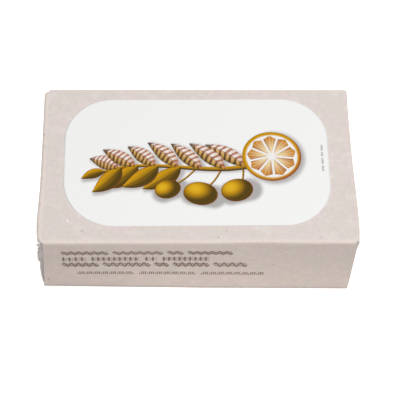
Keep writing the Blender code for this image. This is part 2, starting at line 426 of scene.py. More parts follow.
def board_finish():
    """Uncoated recycled board: pinkish grey, blotched and flecked, paler where a fold is rubbed. It also
    carries painted shade: warmer and darker on the upright panels, greyer at their foot, and darker at the
    bottom fold, below the flaps' folds and on the hidden end walls.
    """
    finish = Finish("recycled_board", 0.86)
    place = finish.place()
    blotch = finish.grain(place, 7, 3)
    mottle = finish.grain(place, 1.6, 5, 0.65)
    finish.colour = PINK_BOARD
    finish.coat(finish.ramp(blotch, 0.36, 0.64), YELLOW_BOARD)
    finish.coat(finish.ramp(mottle, 0.3, 0.7, 0, 0.6), GREY_BOARD)
    cloud = finish.grain(finish.place((0.8, 1.1, 1)), 3.4, 3)
    finish.coat(finish.ramp(cloud, 0.5, 0.68, 0, 0.3), PALE_BOARD)
    # Painted shade: upright panels warmer and darker, most towards their upper left end
    finish.coat(finish.attribute("painted_side_shade"), SIDE_SHADE_BOARD)
    # Painted contact shade: the upright panels turn grey at their foot
    finish.coat(finish.attribute("painted_contact_shade"), CONTACT_SHADE_BOARD)
    hairs = fibres(finish, 0.5)
    finish.coat(hairs * 0.16, PALE_BOARD)
    finish.coat(specks(finish, place, 2.4, 0.2, 0.1) * 0.5, WHITE_FLECK)
    finish.coat(specks(finish, place, 3.1, 0.17, 0.07) * 0.7, DARK_FLECK)
    rub = finish.attribute("rub") * finish.ramp(finish.grain(place, 1.1, 4), 0.25, 0.6, 0.45, 1)
    finish.coat(rub, RUBBED_BOARD)
    # Painted shade, broken up by grain: at the bottom fold, below the flaps' folds and on the end walls
    # behind the flaps
    painted_shade = finish.attribute("painted_shade") * finish.ramp(finish.grain(place, 0.9, 4), 0.3, 0.7, 0.5, 1)
    finish.coat(painted_shade, PAINTED_SHADE_BOARD)
    finish.set("Roughness", finish.ramp(mottle, 0.3, 0.7, 0.8, 0.92))
    finish.bump(mottle * 0.7 + hairs * 0.5 + finish.grain(place, 0.35, 3) * 0.5, 0.02 * MM, 0.6)
    return finish.material


def cut_edge_finish(name="cut_board", dark=CUT_DARK, pale=CUT_PALE):
    """The raw cut through the board: grey, layered and fuzzy."""
    finish = Finish(name, 0.95)
    place = finish.place()
    layers = finish.grain(finish.place((6, 1, 0.5)), 0.4, 4, 0.7)
    finish.colour = dark
    finish.coat(finish.ramp(layers, 0.3, 0.7), pale)
    # Painted shade: darker in the gap beside the tube's end and just below a flap's fold
    finish.coat(finish.attribute("painted_shade"), PAINTED_SHADE_BOARD)
    finish.bump(layers + finish.grain(place, 0.15, 3), 0.06 * MM)
    return finish.material


def label_finish():
    """Smooth white paper with the soft sprayed shadows that lie under the print."""
    finish = Finish("label_paper", 0.55)
    place = finish.place()
    grain = finish.grain(place, 0.45, 4, 0.6)
    finish.colour = LABEL_WHITE
    finish.coat(finish.ramp(grain, 0.3, 0.7, 0, 0.3), LABEL_GREY)
    spray = finish.grain(place, 0.18, 2, 0.7)
    finish.coat(finish.attribute("shade") * finish.ramp(spray, 0.2, 0.75, 0.82, 1), PRINT_SHADOW)
    finish.bump(grain, 0.006 * MM, 0.5)
    return finish.material


def band(first, second, closed=False):
    """Faces between two equal rows of points."""
    pairs = list(zip(first, second))
    following = pairs[1:] + (pairs[:1] if closed else [])
    return [(a, b, d, c) for (a, c), (b, d) in zip(pairs, following)]


def add_object(name, data):
    made = bpy.data.objects.new(name, data)
    bpy.context.scene.collection.objects.link(made)
    return made


def object_from(name, points, faces, finishes, values=None):
    """Makes a smooth mesh. values gives a number at each point for each named attribute."""
    mesh = bpy.data.meshes.new(name)
    mesh.from_pydata([tuple(point) for point in points], [], faces)
    mesh.validate()
    for finish in finishes:
        mesh.materials.append(finish)
    for key, numbers in (values or {}).items():
        mesh.attributes.new(key, "FLOAT", "POINT").data.foreach_set("value", numbers)
    bm = bmesh.new()
    bm.from_mesh(mesh)
    bmesh.ops.recalc_face_normals(bm, faces=bm.faces)
    bm.to_mesh(mesh)
    bm.free()
    mesh.shade_smooth()
    return add_object(name, mesh)


def thicken(made, thickness):
    """Gives a thin layer its thickness, under the face that shows."""
    layer = made.modifiers.new("thickness", "SOLIDIFY")
    layer.thickness = thickness
    layer.offset = -1
    return made


def lean(x, z):
    """How far the racked tube has moved along Y at this place."""
    twist = LEFT_TWIST if x < 0 else RIGHT_TWIST
    return -twist * (x / TUBE_END) * (1 - z / HEIGHT)


def dent(x, y, z):
    """The push into the front panel's upper fold, along Y, with a slow unevenness beside it."""
    if y > 0:
        return 0
    push = DENT_DEPTH * bell(x - DENT_PLACE, DENT_WIDTH)
    push += FOLD_WAVER * wobble(x, 0, 0, 11 * MM, 3)
    return push * smooth_step(z / HEIGHT) ** 3


def hollow(x, z):
    """How far a long side panel has sunk in between its folds."""
    return HOLLOW * max(0, 1 - (x / TUBE_END) ** 2) * max(0, 1 - (2 * z / HEIGHT - 1) ** 2)


def side_face(side, x, z):
    """The outside of the front (side -1) or back (side 1) panel along Y."""
    uneven = side * UNEVEN * wobble(x, side * DEPTH / 2, z, 9 * MM)
    return side * (DEPTH / 2 - hollow(x, z)) + lean(x, z) + dent(x, side, z) + uneven


def crown(x, y):
    """How high the top panel rises above its folds."""
    return CROWN * max(0, 1 - (x / LEFT_TOP_END) ** 2) * max(0, 1 - (2 * y / DEPTH) ** 2)


def straight_run(start, end, step):
    """Points from start up to but without end, at most step apart."""
    count = max(1, round((end - start).length / step))
    return [start.lerp(end, i / count) for i in range(count)]


def direction(angle):
    return Vector((math.cos(angle), math.sin(angle)))


def tube_end(side, y, z):
    """Where the tube's end lies along X. The left end slants out to its foot, the right one is askew."""
    if side == LEFT:
        spread = FOOT_SPREAD * bell(z, FOOT_SPREAD_HEIGHT)
        return -(LEFT_END_TOP + LEFT_END_SLANT * (1 - z / HEIGHT) + spread)
    low = max(0, FOOT_ROUNDING - z)
    rounding = FOOT_ROUNDING - math.sqrt(FOOT_ROUNDING**2 - low**2)
    return RIGHT_END_FRONT - RIGHT_END_SKEW * (0.5 + y / DEPTH) - 0.5 * rounding


def worn(point):
    """The place that a point of the board takes where the top's back left corner is worn round."""
    long = (-point.x - LEFT_CORNER_REACH) / WORN_RADIUS + 1
    wide = (point.y - DEPTH / 2) / WORN_RADIUS + 1
    if long <= 0 or wide <= 0:
        return point
    share = 1 - max(long, wide) / math.hypot(long, wide)
    share *= 1 - smooth_step((HEIGHT - point.z) / WORN_HEIGHT)
    return point + Vector((long * share, -wide * share, 0)) * WORN_RADIUS


def tube_section():
    """The tube's fine outline in Y and Z as (point, outward direction, nearness to a fold)."""
    corners = []
    for quarter in range(4):
        radius = FOLD_RADIUS if quarter in (0, 1) else FOOT_RADIUS
        y = (DEPTH / 2 - radius) * (1 if quarter in (0, 3) else -1)
        z = HEIGHT - radius if quarter in (0, 1) else radius
        corners.append((Vector((y, z)), radius))
    section = []
    for quarter, (centre, radius) in enumerate(corners):
        following, next_radius = corners[(quarter + 1) % 4]
        for step in range(ARC_STEPS):
            outward = direction(math.radians(90) * (quarter + step / ARC_STEPS))
            section.append((centre + radius * outward, outward, 1))
        outward = direction(math.radians(90) * (quarter + 1))
        start = centre + radius * outward
        end = following + next_radius * outward
        for point in straight_run(start, end, PANEL_STEP):
            nearest = min((point - start).length, (point - end).length)
            section.append((point, outward, bell(nearest, RUB_WIDTH)))
    return lapped(section)


def lapped(section):
    """Sets the back panel's lowest strip in by one board, where it laps over a glue flap."""
    laid = []
    was_low = False
    for point, outward, fold in section:
        low = point.x > 0 and point.y < LAP_HEIGHT
        if was_low and not low:
            for inset in (BOARD, 0):
                laid.append((Vector((DEPTH / 2 - inset, LAP_HEIGHT)), Vector((1, 0)), 0.5))
        laid.append((point - Vector((BOARD, 0)), outward, 0.3 * fold) if low else (point, outward, fold))
        was_low = low
    return laid


def tube_stations():
    """Places along the tube as (share of the way to its end, rounding angle)."""
    count = round(2 * TUBE_END / PANEL_STEP)
    stations = [(2 * i / count - 1, 0) for i in range(count + 1)]
    turns = [math.radians(90) * (i + 1) / 4 for i in range(4)]
    return [(-1, turn) for turn in reversed(turns)] + stations + [(1, turn) for turn in turns]


def tube_point(point, outward, share, turn):
    """A place on the tube's skin. The top panel runs on into the flaps, so its ends aren't rounded."""
    y, z = point
    on_top = z > HEIGHT - TOP_BAND
    side = LEFT if share < 0 else RIGHT
    top_end = LEFT_TOP_END if side == LEFT else RIGHT_TOP_END
    end = top_end if on_top else abs(tube_end(side, y, z))
    inner = end - END_ROUNDING
    x = inner * share
    if turn:
        x = side * (inner + END_ROUNDING * math.sin(turn))
        inset = 0 if on_top else END_ROUNDING * (1 - math.cos(turn))
        y -= outward.x * inset
        z -= outward.y * inset
    if on_top:
        z += crown(x, y)
    uneven = UNEVEN * wobble(x, outward.x * DEPTH / 2, z, 9 * MM)
    y += lean(x, z) + dent(x, y, z) + outward.x * (uneven - hollow(x, z))
    return worn(Vector((x, y, max(0, z + outward.y * uneven))))


def tube_marks(point, outward, fold, share):
    """How rubbed the tube is at this place, and how much shade is painted on it: at the bottom fold, on the
    upright panels, and in grey at their foot.
    """
    low = point.y < FOOT_RADIUS
    upright = abs(outward.x)
    corner = smooth_step(point.y / HEIGHT) * smooth_step(-0.2 - 0.8 * share)
    return {
        "rub": 0 if low else (FRONT_RUB if point.x < 0 else BACK_RUB) * fold,
        "painted_shade": FOOT_PAINTED_SHADE * fold if low else 0,
        # Painted shade on the upright panels, stronger towards their upper left end
        "painted_side_shade": upright * (0.07 + 0.09 * corner),
        # Painted contact shade at the foot of the upright panels
        "painted_contact_shade": 0.5 * bell(point.y, 1.6 * MM) * upright,
    }


def make_tube(board):
    """The four long panels of the carton, closed by the inner flaps at both ends."""
    section = tube_section()
    stations = tube_stations()
    count = len(section)
    points = []
    marks = {"rub": [], "painted_shade": [], "painted_side_shade": [], "painted_contact_shade": []}
    for share, turn in stations:
        for point, outward, fold in section:
            points.append(tube_point(point, outward, share, turn))
            for key, value in tube_marks(point, outward, fold, share).items():
                marks[key].append(value)
    rings = [range(start, start + count) for start in range(0, len(points), count)]
    faces = []
    for first, second in zip(rings, rings[1:]):
        faces += band(first, second, closed=True)
    middle = Vector((0, 0, HEIGHT / 2))
    for ring in (rings[0], rings[-1]):
        rim = range(len(points), len(points) + count)
        for i in ring:
            points.append(Vector((points[i].x, *points[i].lerp(middle, 0.04).yz)))
        # The end walls behind the flaps get painted shade
        for key in marks:
            marks[key] += [0.6 if key == "painted_shade" else 0] * count
        faces += band(ring, rim, closed=True)
        faces.append(tuple(rim))
    tube = object_from("board_tube", points, faces, [board], marks)
    tube.data.set_sharp_from_angle(angle=math.radians(60))
    return tube


def flap_path(inset):
    """(outward, downward) points of a flap's section: from its root, round the fold and down."""
    points = [(-FLAP_ROOT, inset + ROOT_DIP)]
    radius = FLAP_BEND - inset
    for step in range(ARC_STEPS + 1):
        angle = math.radians(90) * (1 - step / ARC_STEPS)
        points.append((radius * math.cos(angle) - FLAP_BEND, FLAP_BEND - radius * math.sin(angle)))
    reach = HEIGHT - FLAP_SINK - FLAP_FOOT - FLAP_BEND
    for step in range(1, FLAP_STEPS + 1):
        points.append((-inset, FLAP_BEND + reach * step / FLAP_STEPS))
    return points


def left_wear(y, down):
    """How far wear has pushed the left flap out at this place."""
    if down < SWELL_DROP:
        hollowing = ((SWELL_DROP - down) / SWELL_RISE) ** 4
    else:
        hollowing = ((down - SWELL_DROP) / SWELL_FALL) ** 8
    wear = SWELL * max(0, 1 - hollowing)
    tab = smooth_step((down - TAB_TOP) / TAB_EDGE) - smooth_step((down - TAB_FOOT) / TAB_EDGE)
    lift = TAB_LIFT[0] + (TAB_LIFT[1] - TAB_LIFT[0]) * (down - TAB_TOP) / (TAB_FOOT - TAB_TOP)
    wear += lift * tab * bell(y + DEPTH / 2, TAB_WIDTH)
    wear += KICK * smooth_step((down - KICK_DROP) / KICK_RUN)
    corner = smooth_step((-y - CORNER_TEAR_START) / CORNER_TEAR_RUN)
    wear -= CORNER_TEAR * corner * (1 - smooth_step((down - CORNER_TEAR_DROP) / CORNER_TEAR_FADE))
    return wear - raggedness(y, down)


def raggedness(y, down):
    """The left flap's small relief: fold nicks, the dish behind its torn corner and frayed sides."""
    nick = max(bell(y - place, NICK_WIDTH) for place in NICK_PLACES)
    depth = NICK_DEPTH * nick * bell(down, NICK_DROP)
    depth += DISH_DEPTH * bell(y + DEPTH / 2 - DISH_PLACE, DISH_WIDTH) * bell(down - DISH_DROP, DISH_HEIGHT)
    side_edge = bell(y + DEPTH / 2, FRAY_WIDTH) + bell(y - DEPTH / 2, FRAY_WIDTH)
    tear = TEAR_DEPTH * bell(down - TEAR_DROP, TEAR_WIDTH)
    fray = max(0, wobble(0, 0, down, 0.9 * MM, 11)) + 0.5 * max(0, wobble(0, y, down, 0.4 * MM, 12))
    depth += side_edge * (tear + FRAY_DEPTH * fray)
    return depth - 0.08 * MM * wobble(0, y, down, 1.4 * MM, 5)


def flap_bow(side, y, down):
    """How far a flap stands out from its flat place."""
    flare, drop, back_width = FLARES[side]
    width = back_width if y > FLARE_PLACE else FLARE_FRONT_WIDTH
    bow = flare * bell(y - FLARE_PLACE, width) * (1 - smooth_step(down / drop))
    wear = left_wear(y, down) if side == LEFT else 0
    return bow + wear + 0.05 * MM * wobble(0, y, down, 6 * MM, 6 + side)


def flap_point(side, across, outward, downward):
    """A point of a flap. across runs from -1 at its front edge to 1 at its back edge."""
    z = HEIGHT - FLAP_SINK - downward
    half_width = DEPTH / 2 - FLAP_SIDE_GAP - FLAP_TAPER * downward / HEIGHT
    ragged = LEFT_RAGGED if side == LEFT else RIGHT_RAGGED
    edge = smooth_step(abs(across) * 12 - 11)
    half_width += ragged * wobble(across * 3, downward, 0, 0.9 * MM, 8) * edge
    y = across * half_width
    face = LEFT_FACE if side == LEFT else RIGHT_FACE
    x = side * (face + outward + flap_bow(side, y, downward))
    return Vector((x, y + lean(x, z), z))


def flap_marks(side, across, down):
    """How rubbed a flap is at this place, and how much shade is painted on it just below its fold."""
    fold = bell(down - 0.3 * MM, 0.6 * MM)
    # Painted shade just below each flap's fold. On the right flap it is stronger towards the front.
    if side == LEFT:
        return 0.6 * fold, 0.1 * bell(down - 1.9 * MM, 1.1 * MM)
    front = 0.4 + 0.6 * smooth_step(0.3 - across)
    return 0.15 * fold, 0.2 * front * bell(down - 0.8 * MM, 0.45 * MM)


def make_flap(side, name, board, cut):
    """A closing flap: a sheet of board that bends down from the top panel, with raw edges."""
    points, rub, painted_shade = [], [], []
    for path in (flap_path(0), flap_path(BOARD)):
        for row in range(FLAP_ROWS + 1):
            across = 2 * row / FLAP_ROWS - 1
            for outward, downward in path:
                points.append(worn(flap_point(side, across, outward, downward)))
                rubbed, painted_dark = flap_marks(side, across, downward)
                rub.append(rubbed)
                painted_shade.append(painted_dark)
    return make_sheet(name, points, {"rub": rub, "painted_shade": painted_shade}, board, cut)


def make_shreds(torn):
    """Torn slivers of board that stand out from the left end's front corner."""
    points, faces = [], []
    for downward, reach, width, rise in SHREDS:
        root = flap_point(LEFT, -1, -BOARD / 2, downward * MM)
        tip = root + Vector((-reach, -0.1, rise)) * MM
        first = len(points)
        for middle, half in ((root, width / 2), (tip, width / 3)):
            for y, z in ((-half, -0.13), (half, -0.13), (half, 0.13), (-half, 0.13)):
                points.append(middle + Vector((0, y, z)) * MM)
        ends = (range(first, first + 4), range(first + 4, first + 8))
        faces += [*band(*ends, closed=True), tuple(ends[0]), tuple(ends[1])]
    shreds = object_from("torn_shreds", points, faces, [torn])
    shreds.data.shade_flat()
    return shreds


def make_inner_flap(side, name, board, cut):
    """The flaps folded in behind a closing flap, as one packed layer whose raw edge shows beside it."""
    points, painted_shade = [], []
    path = [place for place in flap_path(BOARD) if place[1] > FLAP_BEND]
    for buried in (False, True):
        for row in range(FLAP_ROWS + 1):
            across = (2 * row / FLAP_ROWS - 1) * 0.996
            for outward, downward in path:
                point = flap_point(side, across, outward - LAYER_GAP, downward)
                inner = tube_end(side, point.y, point.z) - side * LAYER_GAP
                if buried or side * point.x < side * inner:
                    point.x = inner - side * (LAYER_GAP if buried else 0)
                points.append(worn(point))
                # Painted shade on the buried side of the edge, standing for the shadow gap beside the
                # tube's end
                painted_shade.append(0.45 * smooth_step((downward - 11 * MM) / (4 * MM)) if buried else 0)
    return make_sheet(name, points, {"rub": [0] * len(points), "painted_shade": painted_shade}, board, cut)


def make_sheet(name, points, values, board, cut):
    """A closed sheet of board. points holds its outer face and then its inner one, in equal rows."""
    inner = len(points) // 2
    width = inner // (FLAP_ROWS + 1)
    rows = [range(start, start + width) for start in range(0, inner, width)]
    faces, rims = [], []
    for first, second in zip(rows, rows[1:]):
        faces += band(first, second)
        faces += band([inner + i for i in second], [inner + i for i in first])
    for edge in (range(0, inner, width), range(width - 1, inner, width), rows[0], rows[-1]):
        rims += band(edge, [inner + i for i in edge])
    sheet = object_from(name, points, faces + rims, [board, cut], values)
    for polygon in list(sheet.data.polygons)[len(faces) :]:
        polygon.material_index = 1
        polygon.use_smooth = False
    return sheet


def label_top(x, y):
    """The height of the label's face."""
    return HEIGHT + crown(x, y) + PAPER * 0.85


def label_rows():
    """Places across the label, closer together towards the ends of its rounded corners."""
    radius = max(LABEL_LEFT_RADII)
    straight = LABEL_DEPTH / 2 - radius
    angles = [math.radians(90) * i / LABEL_CORNER_ROWS for i in range(1, LABEL_CORNER_ROWS + 1)]
    corner = [straight + radius * math.sin(angle) for angle in angles]
    middle = [straight * (2 * i / LABEL_MIDDLE_ROWS - 1) for i in range(LABEL_MIDDLE_ROWS + 1)]
    return [-place for place in reversed(corner)] + middle + corner


def label_reach(radius, across):
    """How far the label reaches to one end, at this distance from its middle line."""
    over = max(0, abs(across) - (LABEL_DEPTH / 2 - radius))
    inset = radius - math.sqrt(max(0, radius**2 - over**2))
    return LABEL_LENGTH / 2 - inset


def make_label(shadows):
    """The paper label as a thin closed sheet, with the print's sprayed shadows kept at its points."""
    rows = label_rows()
    turn = Matrix.Rotation(LABEL_TURN, 2)
    points = []
    for across in rows:
        left = -label_reach(LABEL_LEFT_RADII[across > 0], across)
        right = label_reach(LABEL_RIGHT_RADIUS, across)
        for column in range(LABEL_COLUMNS + 1):
            spot = turn @ Vector((left + (right - left) * column / LABEL_COLUMNS, across))
            x, y = spot + LABEL_PLACE.xy
            points.append(Vector((x, y, label_top(x, y))))
    width = LABEL_COLUMNS + 1
    faces = []
    for start in range(0, len(points) - width, width):
        faces += band(range(start, start + width), range(start + width, start + 2 * width))
    shade = sprayed_shade(np.array([point[:2] for point in points]), shadows)
    return thicken(object_from("paper_label", points, faces, [label_finish()], {"shade": shade}), PAPER)


def sprayed_shade(places, shadows):
    """How dark the sprayed shadow is at each place. Each shadow is (x, y, radius, softness, strength)."""
    shade = np.zeros(len(places))
    for x, y, radius, softness, strength in shadows:
        distance = np.hypot(places[:, 0] - x, places[:, 1] - y)
        share = np.clip(1 - (distance - radius) / softness, 0, 1)
        shade = np.maximum(shade, strength * share * share * (3 - 2 * share))
    return shade.tolist()


class Ink:
    """Patches of print in one thin mesh, whose points keep where in their patch they lie."""

    def __init__(self, surface):
        self.surface = surface
        self.points = []
        self.faces = []
        self.values = {"along": [], "across": [], "tone": []}

    def add_point(self, x, y, layer, along, across, tone):
        self.points.append(self.surface(x, y, layer * INK_LAYER))
        for key, value in (("along", along), ("across", across), ("tone", tone)):
            self.values[key].append(value)
        return len(self.points) - 1

    def add_grid(self, rows, layer, tone=0.5):
        """rows holds rows of (x, y, along, across)."""
        made = []
        for row in rows:
            made.append([self.add_point(x, y, layer, along, across, tone) for x, y, along, across in row])
        for first, second in zip(made, made[1:]):
            self.faces += band(first, second)

    def add_disc(self, middle, radii, turn, layer, tone=0.5, spokes=32, rings=8):
        """An oval disc. along and across run from -1 to 1 over the disc, before it is turned."""
        cos, sin = math.cos(turn), math.sin(turn)
        before = None
        for ring in range(1, rings + 1):
            made = []
            for spoke in range(spokes):
                angle = 2 * math.pi * spoke / spokes
                along, across = ring / rings * math.cos(angle), ring / rings * math.sin(angle)
                x, y = radii[0] * along, radii[1] * across
                x, y = middle[0] + cos * x - sin * y, middle[1] + sin * x + cos * y
                made.append(self.add_point(x, y, layer, along, across, tone))
            self.faces += band(made, before, closed=True) if before else [tuple(made)]
            before = made

    def add_ribbon(self, path, width, layer, tone=0.5):
        """A stroke along a list of places. width gives its full width at each share of the way."""
        rows = []
        for i, place in enumerate(path):
            before, after = path[max(i - 1, 0)], path[min(i + 1, len(path) - 1)]
            dx, dy = after[0] - before[0], after[1] - before[1]
            long = math.hypot(dx, dy)
            share = i / (len(path) - 1)
            half = width(share) / 2
            row = []
            for across in (-1, -0.5, 0, 0.5, 1):
                x = place[0] - across * half * dy / long
                row.append((x, place[1] + across * half * dx / long, share, across))
            rows.append(row)
        self.add_grid(rows, layer, tone)

    def build(self, name, finish):
        return thicken(object_from(name, self.points, self.faces, [finish], self.values), INK_LAYER)


def bezier(share, *corners):
    """A place on a smooth curve drawn by four corners."""
    a, b, c, d = corners
    rest = 1 - share
    weights = (rest**3, 3 * rest**2 * share, 3 * rest * share**2, share**3)
    return tuple(sum(weight * corner[i] for weight, corner in zip(weights, (a, b, c, d))) for i in (0, 1))


def on_label(x, y, lift):
    return Vector((x, y, label_top(x, y) + lift))


def on_side(side):
    """The surface of the front (-1) or back (1) panel, as someone who faces it reads it."""

    def place(x, z, lift):
        x *= -side
        return Vector((x, side_face(side, x, z) + side * lift, z))

    return place


def stem_place(share):
    return bezier(share, *STEM)


def stem_heading(share):
    before, after = stem_place(share - 0.01), stem_place(share + 0.01)
    return math.atan2(after[1] - before[1], after[0] - before[0])


def leaf_spine(base, heading, length, bend):
    """Places along a leaf's bent middle line, with the heading at each."""
    spine = []
    x, y = base
    steps = 26
    for step in range(steps + 1):
        turn = heading + bend * (step / steps - 0.5)
        spine.append((x, y, turn))
        x += length / steps * math.cos(turn)
        y += length / steps * math.sin(turn)
    return spine


def leaf_half_width(share, width):
    share = min(max(share, 0.012), 0.988)
    return width / 2 * math.sin(math.pi * share**0.85) ** 0.9


def speckled(finish, value, amount=0.12):
    """Breaks a soft run of colour up a little, as a sprayed print has it."""
    return value + (finish.grain(finish.place(), 0.16, 2, 0.8) - 0.5) * amount


def ink_finish(name):
    """Print on paper, with how far along and across its patch each point lies."""
    finish = Finish(name, 0.6)
    finish.set("Specular IOR Level", 0.12)
    finish.bump(finish.grain(finish.place(), 0.4, 3), 0.004 * MM, 0.4)
    return finish, finish.attribute("along"), finish.attribute("across")


def banded_ink():
    """Leaves of fine rust ticks on white, with a dark underside and tip."""
    finish, along, across = ink_finish("ink_banded")
    wave = finish.math_value("SINE", along * 50 + abs(across) * 3.4 + finish.attribute("tone") * 9)
    broken = finish.grain(finish.place(), 0.8, 2)
    tick = finish.ramp(wave + (broken - 0.5) * 2.4, -0.15, 0.5)
    finish.colour = INK_WHITE
    finish.coat(finish.ramp(abs(across), 0.1, 1), INK_BLUSH)
    finish.coat(tick * 0.85, INK_RUST)
    base = finish.ramp(speckled(finish, along), 0.0, 0.3, 1, 0)
    finish.coat(base * 0.9, INK_RUST)
    belly = finish.ramp(speckled(finish, across), -0.4, 0.35)
    finish.coat(belly * 0.85, finish.mix(tick, INK_GOLD, INK_OLIVE))
    shadow = finish.ramp(speckled(finish, across), 0.3, 1.0)
    finish.coat(shadow * 0.6, INK_DARK)
    tip = finish.ramp(speckled(finish, along), 0.8, 0.97)
    finish.coat(tip * 0.9, INK_DARK)
    vein = finish.ramp(abs(across), 0.04, 0.11, 1, 0)
    finish.coat(vein * 0.6, INK_RUST)
    return finish.material


def golden_ink():
    """Leaves in mustard that deepen to olive brown at one edge, under a rust rim."""
    finish, along, across = ink_finish("ink_golden")
    depth = finish.ramp(speckled(finish, across - along * 0.4, 0.2), -1.1, 0.4)
    finish.colour = INK_GOLD
    finish.coat(depth, INK_OLIVE)
    vein = finish.ramp(abs(across), 0.05, 0.14, 1, 0)
    finish.coat(vein * 0.5, INK_OLIVE)
    rim = finish.ramp(abs(across), 0.82, 1.0)
    finish.coat(rim * 0.6, INK_RUST)
    return finish.material


def olive_ink():
    """Ripe olives: a lit golden side, a brown green far side and a thin warm rim."""
    finish, along, across = ink_finish("ink_olive")
    reach = ((along + 0.34) ** 2 + (across - 0.36) ** 2) ** 0.5
    finish.colour = INK_YELLOW
    finish.coat(finish.ramp(speckled(finish, reach, 0.1), 0.05, 0.6), INK_GOLD)
    finish.coat(finish.ramp(speckled(finish, reach, 0.1), 0.3, 1.05), INK_OLIVE)
    edge = finish.ramp((along * along + across * across) ** 0.5, 0.9, 0.99)
    finish.coat(edge * 0.55, INK_RUST)
    return finish.material


def stem_ink():
    finish, _, across = ink_finish("ink_stem")
    finish.colour = INK_GOLD
    finish.coat(finish.ramp(speckled(finish, across, 0.4), -0.8, 0.8), INK_BARK)
    return finish.material


def rind_ink():
    """The wheel's rind, golden outside and rust inside, round a white pith."""
    finish, along, across = ink_finish("ink_rind")
    radius = (along * along + across * across) ** 0.5
    finish.colour = INK_WHITE
    finish.coat(finish.ramp(radius, 0.84, 0.9), INK_GOLD)
    shaded = speckled(finish, radius + (along - across) * 0.05, 0.05)
    finish.coat(finish.ramp(shaded, 0.93, 1.03), INK_RUST)
    return finish.material


def flesh_ink():
    """Wedges of citrus flesh: pale in the middle, orange outside, with radial drops."""
    finish, along, across = ink_finish("ink_flesh")
    tone = finish.attribute("tone")
    drops = finish.math_value("SINE", across * 11 + tone * 20) * finish.grain(finish.place(), 1.2, 2)
    depth = finish.ramp(speckled(finish, along + drops * 0.3, 0.12), 0.1, 1.05)
    finish.colour = INK_PALE_GOLD
    finish.coat(depth, INK_ORANGE)
    side = finish.ramp(speckled(finish, across + tone * 0.4, 0.1), 0.1, 1.3)
    finish.coat(side * 0.6, INK_RUST)
    return finish.material


PRINT_INKS = {
    "stems": stem_ink,
    "banded_leaves": banded_ink,
    "golden_leaves": golden_ink,
    "olives": olive_ink,
    "citrus_rind": rind_ink,
    "citrus_flesh": flesh_ink,
}


